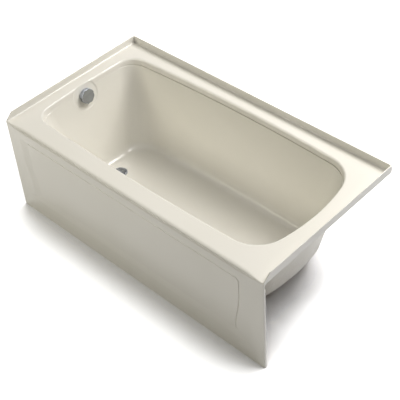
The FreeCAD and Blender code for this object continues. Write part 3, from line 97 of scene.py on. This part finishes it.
def makeAcrylic():
    # cast acrylic sheet, vacuum formed: even colour, clean gloss, very slow ripple
    material, tree = newMaterial("castAcrylicAlmondGloss")
    place = addNode(tree, "TexCoord", {})
    drawn = addNode(tree, "TexNoise",
                    {"Scale": 1 / acrylic["drawn"], "Detail": 2.0, "Roughness": 0.4},
                    {"Vector": (place, "Object")})
    colour = addNode(tree, "ValToRGB", {"stops": acrylic["tones"]}, {"Fac": (drawn, "Fac")})
    ripple = addNode(tree, "TexNoise", {"Scale": 1 / acrylic["ripple"], "Detail": 1.0},
                     {"Vector": (place, "Object")})
    slow = addNode(tree, "Bump", acrylic["rippleBump"], {"Height": (ripple, "Fac")})
    peel = addNode(tree, "TexNoise", {"Scale": 1 / acrylic["peel"], "Detail": 0.0},
                   {"Vector": (place, "Object")})
    fine = addNode(tree, "Bump", acrylic["peelBump"],
                   {"Height": (peel, "Fac"), "Normal": (slow, "Normal")})
    wiped = addNode(tree, "MapRange",
                    {"From Min": acrylic["wipedFrom"], "From Max": acrylic["wipedTo"],
                     "To Min": acrylic["clean"], "To Max": acrylic["wiped"]},
                    {"Value": (drawn, "Fac")})
    skin = addNode(tree, "BsdfPrincipled", {"IOR": acrylic["ior"]},
                   {"Base Color": (colour, "Color"), "Roughness": (wiped, "Result"),
                    "Normal": (fine, "Normal")})
    addNode(tree, "OutputMaterial", {}, {"Surface": (skin, "BSDF")})
    return material


laminate = {
    "tones": [(0.5, "d8d5ca"), (0.75, "e6e4de")],     # resin, then glass
    "strand": 0.0022,         # metres across a bundle of glass, drawn coarse so that it shows
    "length": 14.0,           # times its width
    "turns": (0.2, 1.25, 2.3),    # radians, the ways that the strands lie
    "strandBump": {"Strength": 0.4, "Distance": 0.001},
    "clump": 0.03,            # metres between thick and thin places
    "clumpBump": {"Strength": 0.5, "Distance": 0.002},
    "roughness": 0.5,
    "ior": 1.5,
}


def makeLaminate():
    # chopped glass in polyester resin, rolled by hand: milky, with strands lying all ways
    material, tree = newMaterial("sprayedGlassLaminate")
    place = addNode(tree, "TexCoord", {})
    clumps = addNode(tree, "TexNoise", {"Scale": 1 / laminate["clump"], "Detail": 4.0},
                     {"Vector": (place, "Object")})
    mat = (clumps, "Fac")
    for turn in laminate["turns"]:
        laid = addNode(tree, "Mapping", {"Rotation": (turn, turn * 0.7, turn),
                                         "Scale": (1 / laminate["length"], 1.0, 1.0)},
                       {"Vector": (place, "Object")})
        strands = addNode(tree, "TexNoise", {"Scale": 1 / laminate["strand"], "Detail": 1.0},
                          {"Vector": (laid, "Vector")})
        top = addNode(tree, "Math", {"operation": "MAXIMUM"}, {0: mat, 1: (strands, "Fac")})
        mat = (top, "Value")
    colour = addNode(tree, "ValToRGB", {"stops": laminate["tones"]}, {"Fac": mat})
    proud = addNode(tree, "Bump", laminate["strandBump"], {"Height": mat})
    broad = addNode(tree, "Bump", laminate["clumpBump"],
                    {"Height": (clumps, "Fac"), "Normal": (proud, "Normal")})
    skin = addNode(tree, "BsdfPrincipled",
                   {"Roughness": laminate["roughness"], "IOR": laminate["ior"]},
                   {"Base Color": (colour, "Color"), "Normal": (broad, "Normal")})
    addNode(tree, "OutputMaterial", {}, {"Surface": (skin, "BSDF")})
    return material


timber = {
    "tones": [(0.2, "d9c196"), (0.95, "b78f5c")],     # pale spring and darker summer growth
    "ring": 0.006,            # metres between rings
    "wander": 0.05,           # metres between bends of the grain
    "wanderBump": {"Strength": 0.15, "Distance": 0.0008},
    "fibre": 0.0012,          # metres, drawn coarse so that it shows
    "fibreBump": {"Strength": 0.3, "Distance": 0.0004},
    "draw": 0.04,             # how far the grain is drawn out along the piece
    "roughness": 0.7,
}


def makeTimber(name, along):
    # sawn softwood, bare: growth rings drawn out along the piece, rough saw fibres
    material, tree = newMaterial(name)
    place = addNode(tree, "TexCoord", {})
    drawn = [timber["draw"] if axis == along else 1.0 for axis in "XYZ"]
    stretch = addNode(tree, "Mapping", {"Scale": drawn}, {"Vector": (place, "Object")})
    wander = addNode(tree, "TexNoise", {"Scale": 1 / timber["wander"], "Detail": 2.0},
                     {"Vector": (stretch, "Vector")})
    rings = addNode(tree, "TexWave", {"wave_type": "RINGS", "rings_direction": along,
                                      "Scale": 2 * math.pi / (20 * timber["ring"]),
                                      "Distortion": 5.0, "Detail": 2.0, "Detail Scale": 0.4},
                    {"Vector": (stretch, "Vector")})
    colour = addNode(tree, "ValToRGB", {"stops": timber["tones"]}, {"Fac": (rings, "Fac")})
    fibre = addNode(tree, "TexNoise", {"Scale": 1 / timber["fibre"], "Detail": 3.0},
                    {"Vector": (stretch, "Vector")})
    rough = addNode(tree, "Bump", timber["fibreBump"], {"Height": (fibre, "Fac")})
    uneven = addNode(tree, "Bump", timber["wanderBump"],
                     {"Height": (wander, "Fac"), "Normal": (rough, "Normal")})
    skin = addNode(tree, "BsdfPrincipled", {"Roughness": timber["roughness"]},
                   {"Base Color": (colour, "Color"), "Normal": (uneven, "Normal")})
    addNode(tree, "OutputMaterial", {}, {"Surface": (skin, "BSDF")})
    return material


plywood = {
    "tones": [(0.1, "a17a48"), (0.55, "cda876")],     # cross plies, then face grain
    "veneer": 0.002,          # metres, each ply
    "figure": 0.016,          # metres between lines of the face grain
    "figureBump": {"Strength": 0.2, "Distance": 0.0003},
    "draw": 0.06,             # how far the face grain is drawn out
    "roughness": 0.6,
}


def makePlywood():
    # alternate veneers show as stripes on the sawn edges, long grain on the faces
    material, tree = newMaterial("birchPlywood")
    place = addNode(tree, "TexCoord", {})
    plies = addNode(tree, "TexWave", {"wave_type": "BANDS", "bands_direction": "Z",
                                      "Scale": 2 * math.pi / (20 * 2 * plywood["veneer"]),
                                      "Distortion": 0.4},
                    {"Vector": (place, "Object")})
    stretch = addNode(tree, "Mapping", {"Scale": (plywood["draw"], 1.0, 1.0)},
                      {"Vector": (place, "Object")})
    grain = addNode(tree, "TexNoise", {"Scale": 1 / plywood["figure"], "Detail": 5.0},
                    {"Vector": (stretch, "Vector")})
    both = addNode(tree, "Math", {"operation": "MULTIPLY"},
                   {0: (plies, "Fac"), 1: (grain, "Fac")})
    colour = addNode(tree, "ValToRGB", {"stops": plywood["tones"]}, {"Fac": (both, "Value")})
    bump = addNode(tree, "Bump", plywood["figureBump"], {"Height": (grain, "Fac")})
    skin = addNode(tree, "BsdfPrincipled", {"Roughness": plywood["roughness"]},
                   {"Base Color": (colour, "Color"), "Normal": (bump, "Normal")})
    addNode(tree, "OutputMaterial", {}, {"Surface": (skin, "BSDF")})
    return material


plastic = {                   # two tones, roughness, metres across the grain of the skin
    "mouldedPvcWhite": ("e2e2dc", "e9e9e4", 0.38, 0.0012),
    "mouldedRubberBlack": ("161616", "1c1c1c", 0.75, 0.0008),
    "extrudedPvcBlack": ("19191a", "202021", 0.42, 0.0015),
    "flow": 0.02,             # metres between flow marks
    "bump": {"Strength": 0.15, "Distance": 0.0002},
    "ior": 1.5,
}


def makePlastic(name):
    # moulded plastic: even colour, faint flow marks, satin skin
    deeper, colour, roughness, across = plastic[name]
    material, tree = newMaterial(name)
    place = addNode(tree, "TexCoord", {})
    flow = addNode(tree, "TexNoise", {"Scale": 1 / plastic["flow"], "Detail": 2.0},
                   {"Vector": (place, "Object")})
    tone = addNode(tree, "ValToRGB", {"stops": [(0.3, deeper), (0.7, colour)]},
                   {"Fac": (flow, "Fac")})
    grain = addNode(tree, "TexNoise", {"Scale": 1 / across, "Detail": 2.0},
                    {"Vector": (place, "Object")})
    bump = addNode(tree, "Bump", plastic["bump"], {"Height": (grain, "Fac")})
    skin = addNode(tree, "BsdfPrincipled", {"Roughness": roughness, "IOR": plastic["ior"]},
                   {"Base Color": (tone, "Color"), "Normal": (bump, "Normal")})
    addNode(tree, "OutputMaterial", {}, {"Surface": (skin, "BSDF")})
    return material


metal = {                     # two tones, roughness, metres between tool lines
    "chromePlatePolished": ("a2a7b1", "b6bbc5", 0.15, 0.004),
    # darker copy of the polished chrome for the drain: its darker tones are painted shade for
    # the bottom of the well, its higher roughness is its own
    "chromePlatePaintedShade": ("6f7276", "85888c", 0.24, 0.003),
    "stainlessSteelTurned": ("959593", "a9a9a7", 0.28, 0.002),
    "brassMachined": ("b29351", "c7a964", 0.3, 0.002),
    "lines": {"Scale": (1.0, 0.08, 1.0), "Rotation": (0.6, 0.2, 0.0)},
    "bump": {"Strength": 0.05, "Distance": 0.0002},
    "smoothest": 0.7,         # times the roughness, where the marks are faintest
    "roughest": 1.4,          # times the roughness, where they are deepest
}


def makeMetal(name):
    # polished or machined metal: fine tool lines broken by slow clouds
    worn, colour, roughness, apart = metal[name]
    material, tree = newMaterial(name)
    place = addNode(tree, "TexCoord", {})
    lines = addNode(tree, "Mapping", metal["lines"], {"Vector": (place, "Object")})
    marks = addNode(tree, "TexNoise", {"Scale": 1 / apart, "Detail": 3.0},
                    {"Vector": (lines, "Vector")})
    tone = addNode(tree, "ValToRGB", {"stops": [(0.35, worn), (0.65, colour)]},
                   {"Fac": (marks, "Fac")})
    gloss = addNode(tree, "MapRange", {"To Min": roughness * metal["smoothest"],
                                       "To Max": roughness * metal["roughest"]},
                    {"Value": (marks, "Fac")})
    bump = addNode(tree, "Bump", metal["bump"], {"Height": (marks, "Fac")})
    skin = addNode(tree, "BsdfPrincipled", {"Metallic": 1.0},
                   {"Base Color": (tone, "Color"), "Roughness": (gloss, "Result"),
                    "Normal": (bump, "Normal")})
    addNode(tree, "OutputMaterial", {}, {"Surface": (skin, "BSDF")})
    return material


finishes = {
    "acrylic": makeAcrylic(),
    "laminate": makeLaminate(),
    "timber": makeTimber("sawnPineLengthwise", "X"),
    "plywood": makePlywood(),
    "pipe": makePlastic("mouldedPvcWhite"),
    "rubber": makePlastic("mouldedRubberBlack"),
    "cable_jacket": makePlastic("extrudedPvcBlack"),
    "chrome": makeMetal("chromePlatePolished"),
    "steel": makeMetal("stainlessSteelTurned"),
    "brass": makeMetal("brassMachined"),
}
upright = makeTimber("sawnPineUpright", "Z")
# the drain's chrome: the same plate, rougher, and painted darker as shade
chromeWithPaintedShade = makeMetal("chromePlatePaintedShade")
own = {                       # nodes whose finish differs from the rest of their slot
    "apron_post_1": upright, "apron_post_2": upright, "apron_post_3": upright,
    "apron_post_4": upright, "drain_flange": chromeWithPaintedShade, "drain_stopper": chromeWithPaintedShade,
}
print("materials made:", len(finishes) + 2)

for part in frame["record"]["subparts"]:
    finish = own.get(part["node"], finishes[part["material_slot"]])
    nodes[part["node"]].data.materials[0] = finish
print("finishes given to the frame's nodes")

slipNut = {                   # metres
    "length": 0.020,
    "outer": 0.0264,          # radius over the grips
    "valley": 0.0251,         # radius between the grips
    "grips": 12,
    "gripSteps": 6,           # steps of the spin from one grip to the next
    "valleySteps": (4, 5),    # those of them that fall between two grips
    "thread": 0.02335,        # radius of the bore over the socket
    "mouth": 0.01935,         # radius of the bore round the tube
    "lip": 0.005,
    "edge": 0.0007,           # rounding of the outer rims
    "edgeSegments": 2,
    "rimInside": 0.0245,      # an outer rim lies outside this radius
    "rimLongest": 0.004,      # and its edges are shorter than this
    "near": 0.0001,           # closer than this counts as the same
    "places": (               # middle of the open end, and the way to the lipped end
        ((-0.722, 0, 0.4057), (0, 0, -1)),
        ((-0.722, 0, 0.0603), (0, 0, 1)),
        ((-0.6887, 0, 0.027), (1, 0, 0)),
        ((-0.722, 0.0333, 0.027), (0, 1, 0)),
        ((-0.6093, 0, 0.027), (-1, 0, 0)),
    ),
}


def distanceOut(vert):
    return math.hypot(vert.co.x, vert.co.y)


def makeSlipNut():
    # a ring of raised grips, a bore for the socket and a lip at the tube, standing on the origin
    nut = bmesh.new()
    outer, length = slipNut["outer"], slipNut["length"]
    inside = length - slipNut["lip"]
    profile = ((outer, 0), (outer, length), (slipNut["mouth"], length),
               (slipNut["mouth"], inside), (slipNut["thread"], inside), (slipNut["thread"], 0))
    corners = [nut.verts.new((radius, 0, along)) for radius, along in profile]
    for first, second in zip(corners, corners[1:] + corners[:1]):
        nut.edges.new((first, second))
    steps = slipNut["gripSteps"] * slipNut["grips"]
    bmesh.ops.spin(nut, geom=nut.verts[:] + nut.edges[:], cent=(0, 0, 0), axis=(0, 0, 1),
                   angle=2 * math.pi, steps=steps, use_merge=True)
    for vert in nut.verts:
        radius = distanceOut(vert)
        step = round(math.atan2(vert.co.y, vert.co.x) / (2 * math.pi) * steps)
        between = step % slipNut["gripSteps"] in slipNut["valleySteps"]
        if between and radius > outer - slipNut["near"]:
            vert.co.xy *= slipNut["valley"] / radius
    bmesh.ops.recalc_face_normals(nut, faces=nut.faces)
    rims = [edge for edge in nut.edges if edge.calc_length() < slipNut["rimLongest"]
            and all(distanceOut(vert) > slipNut["rimInside"] for vert in edge.verts)
            and abs(edge.verts[0].co.z - edge.verts[1].co.z) < slipNut["near"]]
    bmesh.ops.bevel(nut, geom=rims, offset=slipNut["edge"], segments=slipNut["edgeSegments"],
                    profile=0.5, affect="EDGES", material=-1)
    return nut


def placeSlipNuts():
    # five hand-tightened nuts in one piece, one at each joint of the waste
    whole = bmesh.new()
    for place, way in slipNut["places"]:
        nut = makeSlipNut()
        turn = Vector((0, 0, 1)).rotation_difference(Vector(way)).to_matrix().to_4x4()
        bmesh.ops.transform(nut, matrix=Matrix.Translation(place) @ turn, verts=nut.verts)
        data = bpy.data.meshes.new("nut")
        nut.to_mesh(data)
        whole.from_mesh(data)
        nut.free()
        bpy.data.meshes.remove(data)
    data = bpy.data.meshes.new("slipNutsGripped")
    whole.to_mesh(data)
    whole.free()
    data.materials.append(finishes["pipe"])
    piece = bpy.data.objects.new("slipNutsGripped", data)
    bpy.context.scene.collection.objects.link(piece)
    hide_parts("slip_nuts")
    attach(piece, "bath")


placeSlipNuts()
print("slip nuts made:", len(slipNut["places"]))

studio = {
    "floorHalf": 14.0,        # metres, half the floor's side
    "floorDrop": 0.0005,      # metres, just under what the bath stands on
    "floorColour": "ebecf0",
    "floorGlow": 0.9,         # lifts the open floor to white
    "reach": 0.36,            # metres, how far out the painted shade at the foot goes
    "paintedShadeFull": 0.56,           # openness at which the glow is gone, leaving full painted shade at the foot of the apron
    "open": 0.78,             # openness past which the floor is white
    "shadeSamples": 12,
    "ambient": 0.02,          # strength of the even light from all round
    "ambientColour": "fffefa",
}


def makeFloor():
    # painted floor, made to glow white in the open; near the apron the glow fades with ambient
    # occlusion, which paints shade at its foot over the lamps' real shadow
    mesh = bmesh.new()
    bmesh.ops.create_grid(mesh, x_segments=1, y_segments=1, size=studio["floorHalf"])
    bmesh.ops.translate(mesh, vec=(0, 0, -studio["floorDrop"]), verts=mesh.verts)
    data = bpy.data.meshes.new("studioFloor")
    mesh.to_mesh(data)
    mesh.free()
    floor = bpy.data.objects.new("studioFloor", data)
    bpy.context.scene.collection.objects.link(floor)
    material, tree = newMaterial("floorGlowPaintedShade")
    seen = addNode(tree, "LightPath", {})
    direct = addNode(tree, "Math", {"operation": "MAXIMUM"},
                     {0: (seen, "Is Camera Ray"), 1: (seen, "Is Glossy Ray")})
    anyway = addNode(tree, "Math", {"operation": "MAXIMUM"},
                     {0: (direct, "Value"), 1: (seen, "Is Transmission Ray")})
    # ambient occlusion takes the glow away near the apron: painted shade at its foot
    near = addNode(tree, "AmbientOcclusion",
                   {"Distance": studio["reach"], "samples": studio["shadeSamples"]})
    foot = addNode(tree, "MapRange",
                   {"interpolation_type": "SMOOTHSTEP", "From Min": studio["paintedShadeFull"],
                    "From Max": studio["open"], "To Max": studio["floorGlow"]},
                   {"Value": (near, "AO")})
    level = addNode(tree, "Math", {"operation": "MULTIPLY"},
                    {0: (anyway, "Value"), 1: (foot, "Result")})
    paint = addNode(tree, "BsdfDiffuse", {"Color": linearColour(studio["floorColour"])})
    glow = addNode(tree, "Emission", {}, {"Strength": (level, "Value")})
    both = addNode(tree, "AddShader", {}, {0: (paint, "BSDF"), 1: (glow, "Emission")})
    addNode(tree, "OutputMaterial", {}, {"Surface": (both, "Shader")})
    data.materials.append(material)


def makeWorld():
    # a faint even light, and white where it is seen directly or mirrored
    world = bpy.data.worlds.new("studio")
    bpy.context.scene.world = world
    world.use_nodes = True
    tree = world.node_tree
    tree.nodes.clear()
    seen = addNode(tree, "LightPath", {})
    mirrored = addNode(tree, "Math", {"operation": "MAXIMUM"},
                       {0: (seen, "Is Glossy Ray"), 1: (seen, "Is Transmission Ray")})
    direct = addNode(tree, "Math", {"operation": "MAXIMUM"},
                     {0: (seen, "Is Camera Ray"), 1: (mirrored, "Value")})
    light = addNode(tree, "Background", {"Color": linearColour(studio["ambientColour"]),
                                         "Strength": studio["ambient"]})
    white = addNode(tree, "Background", {"Color": (1, 1, 1, 1), "Strength": 1.0})
    mixed = addNode(tree, "MixShader", {}, {0: (direct, "Value"), 1: (light, "Background"),
                                            2: (white, "Background")})
    addNode(tree, "OutputWorld", {}, {"Surface": (mixed, "Shader")})


lamps = {                     # place, metres across, watts and colour
    "keyBehind": ((1.0, 2.2, 3.4), 1.3, 85, "fffcf8"),
    "keyAbove": ((1.8, 1.0, 3.4), 1.8, 40, "fffcf8"),
    "softBehind": ((0.3, 2.7, 2.8), 1.2, 30, "fffcf8"),
    "softAbove": ((0.3, 1.8, 3.6), 1.4, 16, "fffcf8"),
    "fillFront": ((-2.2, -2.8, 2.2), 1.2, 32, "fffae9"),
    "edgeLight": ((-1.6, -3.1, 2.3), 0.8, 20, "fffae9"),
}
lampAim = Vector((0, 0, 0.3))     # the middle of the bath, which every lamp faces


def makeLamps():
    for name, (place, across, watts, colour) in lamps.items():
        data = bpy.data.lights.new(name, "AREA")
        data.shape, data.size, data.energy = "SQUARE", across, watts
        data.color = linearColour(colour)[:3]
        lamp = bpy.data.objects.new(name, data)
        lamp.location = place
        lamp.rotation_euler = (lampAim - Vector(place)).to_track_quat("-Z", "Y").to_euler()
        bpy.context.scene.collection.objects.link(lamp)


shot = {                      # the photograph's viewpoint
    "azimuth": 46.066,        # degrees round from the apron's side towards the back rest
    "elevation": 43.247,      # degrees above level
    "roll": -4.401,           # degrees about the line of sight
    "distance": 4.504,        # metres from the origin along the view
    "aside": 0.016,           # metres to the right of the origin, and above it
    "above": 0.133,
    "focal": 963.08,          # in pixels of the frame below
    "frame": 400,
    "sensor": 36,             # millimetres
}


def makeCamera():
    side, tilt, roll = (math.radians(shot[name]) for name in ("azimuth", "elevation", "roll"))
    back = Vector((math.sin(side) * math.cos(tilt), -math.cos(side) * math.cos(tilt),
                   math.sin(tilt)))
    right = Vector((math.cos(side), math.sin(side), 0))
    up = back.cross(right)
    turned = (right * math.cos(roll) + up * math.sin(roll),
              up * math.cos(roll) - right * math.sin(roll), back)
    turn = Matrix([list(axis) for axis in turned]).transposed()
    data = bpy.data.cameras.new("camera")
    data.sensor_width = shot["sensor"]
    data.lens = shot["sensor"] * shot["focal"] / shot["frame"]
    camera = bpy.data.objects.new("camera", data)
    place = turn @ Vector((shot["aside"], shot["above"], shot["distance"]))
    camera.matrix_world = Matrix.Translation(place) @ turn.to_4x4()
    bpy.context.scene.collection.objects.link(camera)
    bpy.context.scene.camera = camera


makeFloor()
makeWorld()
makeLamps()
makeCamera()
bpy.context.scene.view_settings.view_transform = "Standard"
print("floor, light and camera made")
